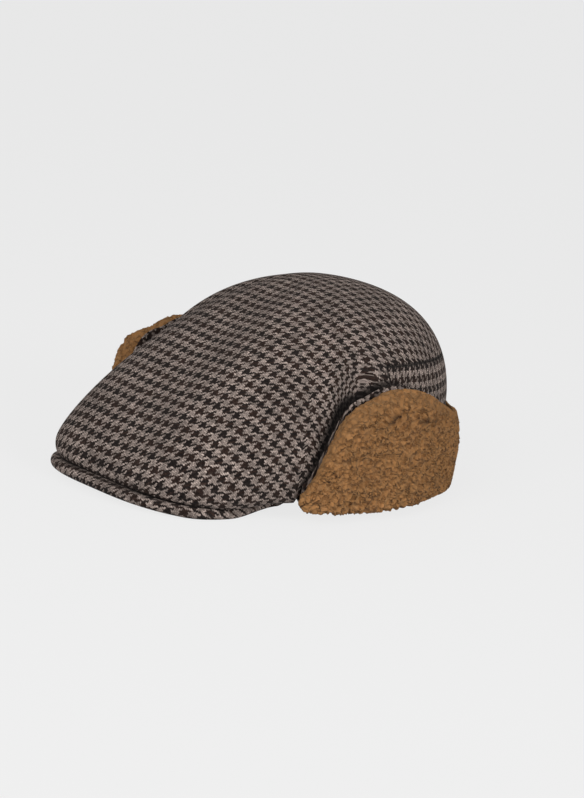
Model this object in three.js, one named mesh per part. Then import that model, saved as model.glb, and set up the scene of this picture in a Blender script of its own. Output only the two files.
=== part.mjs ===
// A flat cap of checked wool with a short stiff peak and fleece ear flaps folded up.
// Millimetres, +Z up. The peak points to -Y and the wearer's left is +X.
// The cap rests on Z = 0, on the peak's lip at both sides and on the fold at the nape.
// X = Y = 0 is the middle of the cap's bounding box.
import * as THREE from 'three';
import { mergeVertices } from 'three/addons/utils/BufferGeometryUtils.js';

// Head opening, inside the fleece, for a head 57 to 58 cm round
const HEAD_WIDTH = 163;
const HEAD_LENGTH = 202;

// Crown: how high it stands, and how far its widest line lies outside the head opening
const CROWN_HEIGHT = 128;
const CROWN_SIDE_FULLNESS = 8.5;
const CROWN_FRONT_FULLNESS = 46;
const CROWN_BACK_FULLNESS = 20;
const CROWN_FRONT_SQUARENESS = 2.9;
const CROWN_BACK_SQUARENESS = 2.1;
const CREST_SETBACK = 28;
const CROWN_ROLL = 10;
const CROWN_CLOTH = 2.4;

// Peak, a stiff board wrapped in the same cloth
const PEAK_THICKNESS = 6.3;
const PEAK_ARCH = 5.5;
const PEAK_DIP = 0.2;
const PEAK_END_ANGLE = 52;
const PEAK_HORN_ANGLE = 27;
const PEAK_HORN_EDGE = 0.5;
const PEAK_HORN_RISE = 7;
const PEAK_HORN_THICKNESS = 2.6;

// Ear flaps, one band of fleece with a cloth back, folded up round the rim
const FLAP_FLEECE = 11;
const FLAP_FLEECE_INSIDE = 4;
const FLAP_BACKING = 1.6;
const FLAP_EAR_HEIGHT = 67;
const FLAP_INNER_LEG = 7;
const FLAP_LEAN = 4.4;
const FLAP_EDGE_REVEAL = 3.2;
const FLAP_EDGE_DEPTH = 4.5;
const FLAP_STANDOFF_HEIGHT = 14;
const TEMPLE_GAP_ANGLE = 2.5;

// The gap that sewn pieces keep, and the ease of the folded band round the crown
const SEAM_GAP = 0.3;
const FLAP_EASE = 0.8;

// How finely the surfaces are divided
const PEAK_STATIONS = 24;
const BAND_STATIONS = 48;
const DOME_RINGS = 12;
const ROLL_RINGS = 4;
const WALL_RINGS = 2;
const PEAK_ROWS = 3;
const PEAK_EDGE_STEPS = 4;
const LIP_SAMPLES = 208;
const FLAP_ROWS = 6;

// Sections of the crown by plan angle: 0 at the front, 90 over the ear, 180 at the nape.
// Both tables are mirrored to the other side.
// roll: how far the cloth turns in below its widest line, in shares of CROWN_ROLL
// tuck, bulge: heights where the turned-in wall starts and of the widest line, in shares of CROWN_HEIGHT
// lip: how far beyond the widest line the peak's lip starts to round, in shares of PEAK_THICKNESS
// crest, side: how full the dome is at its top and at its side, as shares of its two spans
const CROWN_SECTIONS = [
  { angle: 0, roll: 0.45, tuck: 0, bulge: 0.03, lip: 0.12, crest: 0.39, side: 0.09 },
  { angle: 32, roll: 0.4, tuck: 0, bulge: 0.07, lip: -0.35, crest: 0.49, side: 0.19 },
  { angle: 52, roll: 1, tuck: 0.03, bulge: 0.075, lip: -0.25, crest: 0.52, side: 0.36 },
  { angle: 66, roll: 0.8, tuck: 0.2, bulge: 0.26, lip: -0.25, crest: 0.48, side: 0.57 },
  { angle: 80, roll: 0.5, tuck: 0.4, bulge: 0.47, lip: 0, crest: 0.48, side: 0.52 },
  { angle: 95, roll: 0.2, tuck: 0.43, bulge: 0.5, lip: 0, crest: 0.54, side: 0.48 },
  { angle: 135, roll: 0.2, tuck: 0.36, bulge: 0.42, lip: 0, crest: 0.79, side: 0.49 },
  { angle: 180, roll: 0.2, tuck: 0.32, bulge: 0.38, lip: 0, crest: 0.58, side: 0.72 },
];

// Sections of the flap band
// height: its free edge above the rim, in shares of FLAP_EAR_HEIGHT
// reveal: how far the cloth back shows past the fleece, in shares of FLAP_EDGE_REVEAL
// lean: how far the free edge stands off the crown, in shares of FLAP_LEAN
// foot: how high the fold is lifted off the ground, in shares of FLAP_FLEECE
// fold, edge: how thick the fleece is above the fold and at the free edge, in shares of FLAP_FLEECE
const FLAP_SECTIONS = [
  { angle: 54, height: 0.16, reveal: 1, lean: 0.2, foot: 0.86, fold: 0.6, edge: 0.5 },
  { angle: 66, height: 0.8, reveal: 0.8, lean: 0.45, foot: 0.68, fold: 1.05, edge: 1 },
  { angle: 77, height: 0.95, reveal: 0.5, lean: 0.2, foot: 0.5, fold: 1.1, edge: 0.95 },
  { angle: 86, height: 1.02, reveal: 0.2, lean: 0.4, foot: 0.56, fold: 1.05, edge: 0.98 },
  { angle: 98, height: 1, reveal: 0.1, lean: 0.55, foot: 0.6, fold: 1.1, edge: 0.98 },
  { angle: 116, height: 0.84, reveal: 0.1, lean: 0.3, foot: 0.56, fold: 1.02, edge: 0.72 },
  { angle: 140, height: 0.63, reveal: 0.1, lean: 0.1, foot: 0.45, fold: 1.1, edge: 0.56 },
  { angle: 165, height: 0.57, reveal: 0.1, lean: 0, foot: 0, fold: 1.2, edge: 0.6 },
  { angle: 180, height: 0.57, reveal: 0.1, lean: 0, foot: 0, fold: 1.2, edge: 0.6 },
];

const SEAT_END_ANGLE = PEAK_END_ANGLE + TEMPLE_GAP_ANGLE / 3;
const FLAP_START_ANGLE = PEAK_END_ANGLE + TEMPLE_GAP_ANGLE;
const FLAP_FACE_OFFSET = FLAP_BACKING + SEAM_GAP;
const RIM_OFFSET = FLAP_FLEECE_INSIDE + FLAP_FACE_OFFSET + SEAM_GAP + CROWN_CLOTH;
const RIM_Z = FLAP_FLEECE + FLAP_FACE_OFFSET + SEAM_GAP;

const { clamp, degToRad, lerp, smoothstep } = THREE.MathUtils;

function evenSteps(start, end, steps) {
  return Array.from({ length: steps + 1 }, (_, i) => lerp(start, end, i / steps));
}

// The same plan angle on the wearer's left, between 0 and 180
function leftAngle(angle) {
  return Math.abs(angle > 180 ? angle - 360 : angle);
}

// A column of a section table at a plan angle, on a smooth curve through its rows
function fromTable(table, column, angle) {
  const left = leftAngle(angle);
  const last = table.length - 1;
  let row = 0;
  while (row < last - 1 && left > table[row + 1].angle) row += 1;
  const from = table[row];
  const to = table[row + 1];
  const span = to.angle - from.angle;
  const share = clamp((left - from.angle) / span, 0, 1);
  const slope = (i) => {
    if (i === 0 || i === last) return 0;
    return (table[i + 1][column] - table[i - 1][column]) / (table[i + 1].angle - table[i - 1].angle);
  };
  const square = share * share;
  const cube = square * share;
  return (
    (2 * cube - 3 * square + 1) * from[column] +
    (cube - 2 * square + share) * span * slope(row) +
    (3 * square - 2 * cube) * to[column] +
    (cube - square) * span * slope(row + 1)
  );
}

// A point at a plan angle, distance from the middle of the head, and height
function polar(angle, radius, z) {
  return new THREE.Vector3(radius * Math.sin(degToRad(angle)), -radius * Math.cos(degToRad(angle)), z);
}

function ovalRadius(angle, halfWidth, halfLength, squareness) {
  const across = Math.abs(Math.sin(degToRad(angle))) / halfWidth;
  const along = Math.abs(Math.cos(degToRad(angle))) / halfLength;
  return (across ** squareness + along ** squareness) ** (-1 / squareness);
}

function headRadius(angle) {
  return ovalRadius(angle, HEAD_WIDTH / 2, HEAD_LENGTH / 2, 2);
}

// The crown's widest line in plan
function bulgeRadius(angle) {
  const front = Math.cos(degToRad(angle)) > 0;
  const fullness = front ? CROWN_FRONT_FULLNESS : CROWN_BACK_FULLNESS;
  const squareness = front ? CROWN_FRONT_SQUARENESS : CROWN_BACK_SQUARENESS;
  return ovalRadius(angle, HEAD_WIDTH / 2 + CROWN_SIDE_FULLNESS, HEAD_LENGTH / 2 + fullness, squareness);
}

function rollAt(angle) {
  return CROWN_ROLL * fromTable(CROWN_SECTIONS, 'roll', angle);
}

// 1 where the crown reaches forward over the peak, 0 where its rim follows the head
function forwardShare(angle) {
  return 1 - smoothstep(leftAngle(angle), PEAK_END_ANGLE - PEAK_HORN_ANGLE, PEAK_END_ANGLE);
}

// The crown's rim in plan: on the peak near its lip, then round the head
function rimRadius(angle) {
  return lerp(headRadius(angle) + RIM_OFFSET, bulgeRadius(angle) - rollAt(angle), forwardShare(angle));
}

// Where the peak's rounded lip starts in plan
function lipRadius(angle) {
  const reach = rollAt(angle) + PEAK_THICKNESS * fromTable(CROWN_SECTIONS, 'lip', angle);
  return rimRadius(angle) + lerp(PEAK_HORN_EDGE, reach, forwardShare(angle));
}

const LIP = evenSteps(0, PEAK_END_ANGLE, LIP_SAMPLES).map((angle) => polar(angle, lipRadius(angle), 0));
const PEAK_HALF_WIDTH = Math.max(...LIP.map((point) => point.x));

// 0 at the front of the head opening, 1 at the ends of the peak's horns
function hornShare(y) {
  return smoothstep(y, -HEAD_LENGTH / 2, LIP.at(-1).y);
}

// Height of a peak that is arched across and rises to its horns
function archHeight(x, y) {
  const forward = (-HEAD_LENGTH / 2 - y) / CROWN_FRONT_FULLNESS;
  const across = Math.max(0, 1 - (x / PEAK_HALF_WIDTH) ** 2);
  return PEAK_ARCH * across * (1 - PEAK_DIP * forward) + PEAK_HORN_RISE * hornShare(y);
}

const LIP_LOWEST = Math.min(...LIP.map((point) => archHeight(point.x, point.y)));

// Height of the peak's underside, with the lowest line of its lip on the ground
function peakUnderside(x, y) {
  return archHeight(x, y) - LIP_LOWEST;
}

function peakHalfThickness(y) {
  return lerp(PEAK_THICKNESS, PEAK_HORN_THICKNESS, hornShare(y)) / 2;
}

function seatHeight(point) {
  return peakUnderside(point.x, point.y) + 2 * peakHalfThickness(point.y) + SEAM_GAP;
}

// One meridian of the crown's outer face from the crest down to the rim, as distances and heights
function crownMeridian(angle) {
  const seated = leftAngle(angle) <= SEAT_END_ANGLE;
  const bulge = bulgeRadius(angle);
  const rim = rimRadius(angle);
  const wallTop = Math.max(rim, bulge - rollAt(angle));
  const rimZ = seated ? seatHeight(polar(angle, rim, 0)) : RIM_Z;
  const bandZ = rimZ + SEAM_GAP;
  const tuckZ = Math.max(bandZ + SEAM_GAP, CROWN_HEIGHT * fromTable(CROWN_SECTIONS, 'tuck', angle));
  const rise = fromTable(CROWN_SECTIONS, 'bulge', angle) - fromTable(CROWN_SECTIONS, 'tuck', angle);
  const bulgeZ = tuckZ + CROWN_HEIGHT * rise;
  const dome = new THREE.CubicBezierCurve(
    new THREE.Vector2(0, CROWN_HEIGHT),
    new THREE.Vector2(fromTable(CROWN_SECTIONS, 'crest', angle) * bulge, CROWN_HEIGHT),
    new THREE.Vector2(bulge, lerp(bulgeZ, CROWN_HEIGHT, fromTable(CROWN_SECTIONS, 'side', angle))),
    new THREE.Vector2(bulge, bulgeZ),
  );
  const points = dome.getPoints(DOME_RINGS);
  for (let i = 1; i <= ROLL_RINGS; i += 1) {
    const turn = (Math.PI / 2) * (i / ROLL_RINGS);
    points.push(new THREE.Vector2(
      lerp(wallTop, bulge, Math.cos(turn)),
      lerp(bulgeZ, tuckZ, Math.sin(turn)),
    ));
  }
  for (let i = 1; i <= WALL_RINGS; i += 1) {
    points.push(new THREE.Vector2(
      lerp(wallTop, rim, i / WALL_RINGS),
      lerp(tuckZ, bandZ, i / WALL_RINGS),
    ));
  }
  points.push(new THREE.Vector2(rim, rimZ));
  return points;
}

const PEAK_ANGLES = evenSteps(-PEAK_END_ANGLE, PEAK_END_ANGLE, PEAK_STATIONS);
const BAND_ANGLES = evenSteps(FLAP_START_ANGLE, 360 - FLAP_START_ANGLE, BAND_STATIONS);

// A closed mesh from points and triangles
function closedMesh(points, triangles) {
  const geometry = new THREE.BufferGeometry();
  geometry.setAttribute('position', new THREE.Float32BufferAttribute(points.flatMap((p) => p.toArray()), 3));
  geometry.setIndex(triangles.flat());
  return mergeVertices(geometry, 1e-4);
}

// Triangles of a grid whose rows close on themselves
function ringTriangles(rows, columns, start, inward) {
  const triangles = [];
  for (let i = 0; i < rows - 1; i += 1) {
    for (let j = 0; j < columns; j += 1) {
      const a = start + i * columns + j;
      const b = start + i * columns + ((j + 1) % columns);
      const pair = [[a, a + columns, b], [b, a + columns, b + columns]];
      triangles.push(...(inward ? pair.map((t) => t.reverse()) : pair));
    }
  }
  return triangles;
}

// The crown: a hollow wall of cloth, open below
function crownGeometry() {
  const angles = [-SEAT_END_ANGLE, ...PEAK_ANGLES, SEAT_END_ANGLE, ...BAND_ANGLES];
  const count = angles.length;
  const crest = new THREE.Vector3(0, CREST_SETBACK, CROWN_HEIGHT);
  const meridians = angles.map((angle) => crownMeridian(angle).slice(1).map((point, i) => {
    const place = polar(angle, point.x, point.y);
    place.y += i < DOME_RINGS ? CREST_SETBACK * (1 - point.x / bulgeRadius(angle)) : 0;
    return place;
  }));
  const rings = meridians[0].length;
  const outerAt = (i, j) => meridians[(j + count) % count][i];
  const outer = [];
  const inner = [];
  for (let i = 0; i < rings; i += 1) {
    for (let j = 0; j < count; j += 1) {
      const place = outerAt(i, j);
      const down = outerAt(Math.min(i + 1, rings - 1), j).clone().sub(i === 0 ? crest : outerAt(i - 1, j));
      const around = outerAt(i, j + 1).clone().sub(outerAt(i, j - 1));
      const outward = down.cross(around).normalize();
      outer.push(place);
      inner.push(place.clone().addScaledVector(outward, -CROWN_CLOTH));
    }
  }
  // The cut edge lies level in the fold, or flat on the peak
  const edge = (rings - 1) * count;
  angles.forEach((angle, j) => {
    const seated = leftAngle(angle) <= SEAT_END_ANGLE;
    inner[edge + j].z = seated ? seatHeight(inner[edge + j]) : outer[edge + j].z;
  });
  const innerCrest = crest.clone().setZ(CROWN_HEIGHT - CROWN_CLOTH);
  const innerStart = outer.length + 2;
  const triangles = [
    ...ringTriangles(rings, count, 1, false),
    ...ringTriangles(rings, count, innerStart, true),
  ];
  for (let j = 0; j < count; j += 1) {
    const next = (j + 1) % count;
    const out = 1 + edge;
    const back = innerStart + edge;
    triangles.push([0, 1 + j, 1 + next], [innerStart - 1, innerStart + next, innerStart + j]);
    triangles.push([out + j, back + j, out + next], [out + next, back + j, back + next]);
  }
  return closedMesh([crest, ...outer, innerCrest, ...inner], triangles);
}

// Closed outlines joined one after the other, with both ends filled
function sweptMesh(outlines) {
  const count = outlines[0].length;
  const triangles = [];
  outlines.slice(1).forEach((outline, i) => {
    for (let j = 0; j < count; j += 1) {
      const next = (j + 1) % count;
      const a = i * count + j;
      const b = i * count + next;
      // Faces that lie against each other are split along the same diagonal
      if (outline[next].z > outline[j].z) triangles.push([a, b, a + count], [b, b + count, a + count]);
      else triangles.push([a, b, b + count], [a, b + count, a + count]);
    }
  });
  const fillEnd = (outline, start, backwards) => {
    const flat = outline.map((p) => new THREE.Vector2(Math.hypot(p.x, p.y), p.z));
    for (const triangle of THREE.ShapeUtils.triangulateShape(flat, [])) {
      const corners = triangle.map((corner) => start + corner);
      triangles.push(backwards ? corners.reverse() : corners);
    }
  };
  fillEnd(outlines[0], 0, false);
  fillEnd(outlines.at(-1), (outlines.length - 1) * count, true);
  return closedMesh(outlines.flat(), triangles);
}

// The peak: a crescent from the head opening out to a rounded lip
function peakOutline(angle) {
  const root = headRadius(angle) + FLAP_FLEECE_INSIDE;
  const rim = rimRadius(angle);
  const lip = lipRadius(angle);
  const half = peakHalfThickness(polar(angle, lip, 0).y);
  const surfacePoint = (radius, share) => {
    const place = polar(angle, radius, 0);
    return place.setZ(peakUnderside(place.x, place.y) + peakHalfThickness(place.y) * (1 + share));
  };
  const radii = evenSteps(root, rim - CROWN_CLOTH, PEAK_ROWS).concat(rim, lip);
  const edge = [];
  for (let step = 1; step < PEAK_EDGE_STEPS; step += 1) {
    const turn = Math.PI * (step / PEAK_EDGE_STEPS);
    edge.push(surfacePoint(lip + half * Math.sin(turn), Math.cos(turn)));
  }
  return [
    ...radii.map((radius) => surfacePoint(radius, 1)),
    ...edge,
    ...radii.reverse().map((radius) => surfacePoint(radius, -1)),
  ];
}

// How far out a meridian reaches anywhere between the rim and a height
function reachBelow(meridian, z) {
  let reach = meridian.at(-1).x;
  for (let i = meridian.length - 1; i > 0; i -= 1) {
    const low = meridian[i];
    const high = meridian[i - 1];
    if (low.y >= z) break;
    reach = Math.max(reach, lerp(low.x, high.x, Math.min(1, (z - low.y) / (high.y - low.y))));
  }
  return reach;
}

// The face that both layers of the band lie against, from the rim up to near the free edge
function crownFace(angle) {
  const meridian = crownMeridian(angle);
  const lean = FLAP_LEAN * fromTable(FLAP_SECTIONS, 'lean', angle);
  const heights = evenSteps(RIM_Z, flapTop(angle) - FLAP_EDGE_DEPTH, FLAP_ROWS);
  return heights.map((z, row) => {
    const reach = reachBelow(meridian, heights[Math.min(row + 1, FLAP_ROWS)] + FLAP_STANDOFF_HEIGHT);
    return new THREE.Vector2(reach + FLAP_EASE + lean * (row / FLAP_ROWS) ** 2, z);
  });
}

// A section of one layer of the folded band: up inside the rim, under it, and up the crown
function foldedOutline(angle, layer) {
  const inside = rimRadius(angle) - CROWN_CLOTH - SEAM_GAP - layer.offset;
  const innermost = inside - layer.insideThick;
  const insideTop = RIM_Z + FLAP_INNER_LEG;
  const foldTop = RIM_Z - SEAM_GAP - layer.offset;
  const foldBottom = foldTop - layer.foldThick;
  const rounding = layer.foldThick / 2;
  const face = crownFace(angle).map((point) => point.setX(point.x + layer.offset));
  const edge = face.at(-1).x;
  const outside = face.map((point, row) => {
    const thick = lerp(layer.foldSide, layer.edgeThick, row / FLAP_ROWS);
    return new THREE.Vector2(point.x + thick, point.y);
  });
  const low = outside[0].x - rounding;
  const points = [
    [inside - layer.insideThick / 2, foldBottom],
    [innermost, foldBottom + rounding],
    [innermost, insideTop - layer.insideThick / 2],
    [inside - layer.insideThick / 2, insideTop],
    [inside, insideTop - layer.insideThick / 3],
    [inside, foldTop],
    [face[0].x, foldTop],
    ...face.map((point) => point.toArray()),
    [edge + layer.edgeThick * 0.3, layer.top],
    [edge + layer.edgeThick * 0.75, layer.top - layer.edgeThick * 0.12],
    ...outside.reverse().map((point) => point.toArray()),
    [low + rounding, foldBottom + rounding],
    [low + rounding * Math.SQRT1_2, foldBottom + rounding * (1 - Math.SQRT1_2)],
    [low, foldBottom],
  ];
  return points.map(([radius, z]) => polar(angle, radius, z));
}

function flapTop(angle) {
  return RIM_Z + FLAP_EAR_HEIGHT * fromTable(FLAP_SECTIONS, 'height', angle);
}

function backingOutline(angle) {
  return foldedOutline(angle, {
    offset: 0,
    insideThick: FLAP_BACKING,
    foldThick: FLAP_BACKING,
    foldSide: FLAP_BACKING,
    edgeThick: FLAP_BACKING,
    top: flapTop(angle),
  });
}

function fleeceOutline(angle) {
  const share = (column) => fromTable(FLAP_SECTIONS, column, angle);
  return foldedOutline(angle, {
    offset: FLAP_FACE_OFFSET,
    insideThick: FLAP_FLEECE_INSIDE,
    foldThick: FLAP_FLEECE * (1 - Math.max(0, share('foot'))),
    foldSide: FLAP_FLEECE * share('fold'),
    edgeThick: FLAP_FLEECE * share('edge'),
    top: flapTop(angle) - FLAP_EDGE_REVEAL * share('reveal'),
  });
}

const CHECKED_WOOL = { color: 0x6b6058, roughness: 0.92, metalness: 0 };
const FLEECE = { color: 0x9a6b3c, roughness: 1, metalness: 0 };

function piece(name, geometry, finish) {
  const mesh = new THREE.Mesh(geometry, new THREE.MeshStandardMaterial(finish));
  mesh.name = name;
  return mesh;
}

const cap = new THREE.Group();
cap.add(
  piece('crown', crownGeometry(), CHECKED_WOOL),
  piece('peak', sweptMesh(PEAK_ANGLES.map(peakOutline)), CHECKED_WOOL),
  piece('flap_backing', sweptMesh(BAND_ANGLES.map(backingOutline)), CHECKED_WOOL),
  piece('flap_fleece', sweptMesh(BAND_ANGLES.map(fleeceOutline)), FLEECE),
);
const box = new THREE.Box3().setFromObject(cap);
cap.position.y = -(box.min.y + box.max.y) / 2;

export default cap;
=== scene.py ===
"""A flat cap of checked wool with a short stiff peak and fleece ear flaps folded up.

Each soft piece is built again, finer and with its cloth, over the solid it stands for.
Shapes are worked out in millimetres round the middle of the head, with the peak towards -Y,
and the meshes are made in metres in the frame of the solids.
"""
import math

import bpy
import numpy as np
from mathutils import Matrix, Vector
from mathutils.bvhtree import BVHTree
from mathutils.kdtree import KDTree


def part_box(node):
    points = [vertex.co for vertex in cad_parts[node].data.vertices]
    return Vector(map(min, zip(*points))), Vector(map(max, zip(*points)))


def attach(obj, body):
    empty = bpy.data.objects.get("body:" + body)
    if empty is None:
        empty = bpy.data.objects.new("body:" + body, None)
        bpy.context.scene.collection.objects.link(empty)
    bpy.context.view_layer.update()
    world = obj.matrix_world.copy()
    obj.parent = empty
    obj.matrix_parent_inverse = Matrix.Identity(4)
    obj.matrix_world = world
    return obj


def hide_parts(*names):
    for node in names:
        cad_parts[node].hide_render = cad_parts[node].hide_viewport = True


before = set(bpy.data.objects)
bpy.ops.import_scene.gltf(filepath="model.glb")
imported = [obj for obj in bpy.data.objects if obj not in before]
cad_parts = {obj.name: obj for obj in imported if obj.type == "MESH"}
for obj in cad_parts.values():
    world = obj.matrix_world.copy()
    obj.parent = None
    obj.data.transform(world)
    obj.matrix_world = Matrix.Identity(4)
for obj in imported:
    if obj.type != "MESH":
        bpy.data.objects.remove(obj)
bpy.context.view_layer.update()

MM = 0.001

# Head opening, inside the fleece
HEAD_WIDTH = 163
HEAD_LENGTH = 202

# Crown
CROWN_HEIGHT = 128
CROWN_SIDE_FULLNESS = 8.5
CROWN_FRONT_FULLNESS = 46
CROWN_BACK_FULLNESS = 20
CROWN_FRONT_SQUARENESS = 2.9
CROWN_BACK_SQUARENESS = 2.1
CREST_SETBACK = 28
CROWN_ROLL = 10
CROWN_CLOTH = 2.4

# Peak
PEAK_THICKNESS = 6.3
PEAK_ARCH = 5.5
PEAK_DIP = 0.2
PEAK_END_ANGLE = 52
PEAK_HORN_ANGLE = 27
PEAK_HORN_EDGE = 0.5
PEAK_HORN_RISE = 7
PEAK_HORN_THICKNESS = 2.6

# Ear flaps, one band of fleece with a cloth back
FLAP_FLEECE = 11
FLAP_FLEECE_INSIDE = 4
FLAP_BACKING = 1.6
FLAP_EAR_HEIGHT = 67
FLAP_INNER_LEG = 7
FLAP_LEAN = 4.4
FLAP_EDGE_REVEAL = 3.2
FLAP_EDGE_DEPTH = 4.5
FLAP_STANDOFF_HEIGHT = 14
TEMPLE_GAP_ANGLE = 2.5
SEAM_GAP = 0.3
FLAP_EASE = 0.8
FLAP_ROWS = 6


def section_table(names, *rows):
    """Columns of values by plan angle: 0 at the front, 90 over the ear, 180 at the nape."""
    return {name: np.array(column, float) for name, column in zip(names.split(), zip(*rows))}


CROWN_SECTIONS = section_table(
    "angle roll tuck bulge lip crest side",
    (0, 0.45, 0, 0.03, 0.12, 0.39, 0.09),
    (32, 0.4, 0, 0.07, -0.35, 0.49, 0.19),
    (52, 1, 0.03, 0.075, -0.25, 0.52, 0.36),
    (66, 0.8, 0.2, 0.26, -0.25, 0.48, 0.57),
    (80, 0.5, 0.4, 0.47, 0, 0.48, 0.52),
    (95, 0.2, 0.43, 0.5, 0, 0.54, 0.48),
    (135, 0.2, 0.36, 0.42, 0, 0.79, 0.49),
    (180, 0.2, 0.32, 0.38, 0, 0.58, 0.72),
)
FLAP_SECTIONS = section_table(
    "angle height reveal lean foot fold edge",
    (54, 0.16, 1, 0.2, 0.86, 0.6, 0.5),
    (66, 0.8, 0.8, 0.45, 0.68, 1.05, 1),
    (77, 0.95, 0.5, 0.2, 0.5, 1.1, 0.95),
    (86, 1.02, 0.2, 0.4, 0.56, 1.05, 0.98),
    (98, 1, 0.1, 0.55, 0.6, 1.1, 0.98),
    (116, 0.84, 0.1, 0.3, 0.56, 1.02, 0.72),
    (140, 0.63, 0.1, 0.1, 0.45, 1.1, 0.56),
    (165, 0.57, 0.1, 0, 0, 1.2, 0.6),
    (180, 0.57, 0.1, 0, 0, 1.2, 0.6),
)

SEAT_END_ANGLE = PEAK_END_ANGLE + TEMPLE_GAP_ANGLE / 3
FLAP_START_ANGLE = PEAK_END_ANGLE + TEMPLE_GAP_ANGLE
FLAP_FACE_OFFSET = FLAP_BACKING + SEAM_GAP
RIM_OFFSET = FLAP_FLEECE_INSIDE + FLAP_FACE_OFFSET + SEAM_GAP + CROWN_CLOTH
RIM_Z = FLAP_FLEECE + FLAP_FACE_OFFSET + SEAM_GAP

# The middle of the head in the frame of the solids, in metres
HEAD_CENTRE = Vector((0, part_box("crown")[0][1] + (HEAD_LENGTH / 2 + CROWN_FRONT_FULLNESS) * MM, 0))

# The cap's own panels: the back panel starts behind the ear and ends under the top panel
PANEL_SEAM_HEIGHT = 90
PANEL_SEAM_ANGLE = 93


def lerp(start, end, share):
    return start + (end - start) * share


def smoothstep(value, low, high):
    share = np.clip((value - low) / (high - low), 0, 1)
    return share * share * (3 - 2 * share)


def left_angle(angle):
    """The same plan angle on the wearer's left, between 0 and 180."""
    return np.abs(np.where(angle > 180, angle - 360, angle))


def plan_angle(points):
    """Plan angles of points, between 0 at the front and 180 at the nape on either side."""
    return np.degrees(np.arctan2(np.abs(points[:, 0]), -points[:, 1]))


def from_table(table, column, angle):
    """A column of a section table at plan angles, on a smooth curve through its rows."""
    angles, values = table["angle"], table[column]
    slopes = np.zeros(len(values))
    slopes[1:-1] = (values[2:] - values[:-2]) / (angles[2:] - angles[:-2])
    left = left_angle(angle)
    row = np.clip(np.searchsorted(angles, left) - 1, 0, len(angles) - 2)
    span = angles[row + 1] - angles[row]
    share = np.clip((left - angles[row]) / span, 0, 1)
    square, cube = share**2, share**3
    return (
        (2 * cube - 3 * square + 1) * values[row]
        + (cube - 2 * square + share) * span * slopes[row]
        + (3 * square - 2 * cube) * values[row + 1]
        + (cube - square) * span * slopes[row + 1]
    )


def polar(angle, radius, z):
    """Points at plan angles, distances from the middle of the head, and heights."""
    turn = np.radians(angle)
    return np.stack(np.broadcast_arrays(radius * np.sin(turn), -radius * np.cos(turn), z), -1)


def oval_radius(angle, half_width, half_length, squareness):
    turn = np.radians(angle)
    across = np.abs(np.sin(turn)) / half_width
    along = np.abs(np.cos(turn)) / half_length
    return (across**squareness + along**squareness) ** (-1 / squareness)


def head_radius(angle):
    return oval_radius(angle, HEAD_WIDTH / 2, HEAD_LENGTH / 2, 2)


def bulge_radius(angle):
    """The crown's widest line in plan."""
    front = np.cos(np.radians(angle)) > 0
    fullness = np.where(front, CROWN_FRONT_FULLNESS, CROWN_BACK_FULLNESS)
    squareness = np.where(front, CROWN_FRONT_SQUARENESS, CROWN_BACK_SQUARENESS)
    half_width = HEAD_WIDTH / 2 + CROWN_SIDE_FULLNESS
    return oval_radius(angle, half_width, HEAD_LENGTH / 2 + fullness, squareness)


def roll_at(angle):
    return CROWN_ROLL * from_table(CROWN_SECTIONS, "roll", angle)


def forward_share(angle):
    """1 where the crown reaches forward over the peak, 0 where its rim follows the head."""
    return 1 - smoothstep(left_angle(angle), PEAK_END_ANGLE - PEAK_HORN_ANGLE, PEAK_END_ANGLE)


def rim_radius(angle):
    forward = bulge_radius(angle) - roll_at(angle)
    return lerp(head_radius(angle) + RIM_OFFSET, forward, forward_share(angle))


def lip_radius(angle):
    """Where the peak's rounded lip starts in plan."""
    reach = roll_at(angle) + PEAK_THICKNESS * from_table(CROWN_SECTIONS, "lip", angle)
    return rim_radius(angle) + lerp(PEAK_HORN_EDGE, reach, forward_share(angle))


LIP_SAMPLES = 208
LIP_ANGLES = np.linspace(0, PEAK_END_ANGLE, LIP_SAMPLES + 1)
LIP = polar(LIP_ANGLES, lip_radius(LIP_ANGLES), 0)
PEAK_HALF_WIDTH = LIP[:, 0].max()


def horn_share(y):
    """0 at the front of the head opening, 1 at the ends of the peak's horns."""
    return smoothstep(y, -HEAD_LENGTH / 2, LIP[-1, 1])


def arch_height(x, y):
    """Height of a peak that is arched across and rises to its horns."""
    forward = (-HEAD_LENGTH / 2 - y) / CROWN_FRONT_FULLNESS
    across = np.maximum(0, 1 - (x / PEAK_HALF_WIDTH) ** 2)
    return PEAK_ARCH * across * (1 - PEAK_DIP * forward) + PEAK_HORN_RISE * horn_share(y)


LIP_LOWEST = arch_height(LIP[:, 0], LIP[:, 1]).min()


def peak_underside(x, y):
    return arch_height(x, y) - LIP_LOWEST


def peak_half_thickness(y):
    return lerp(PEAK_THICKNESS, PEAK_HORN_THICKNESS, horn_share(y)) / 2


def seat_height(points):
    """Height at which the crown's edge lies on the peak."""
    x, y = points[..., 0], points[..., 1]
    return peak_underside(x, y) + 2 * peak_half_thickness(y) + SEAM_GAP


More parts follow.
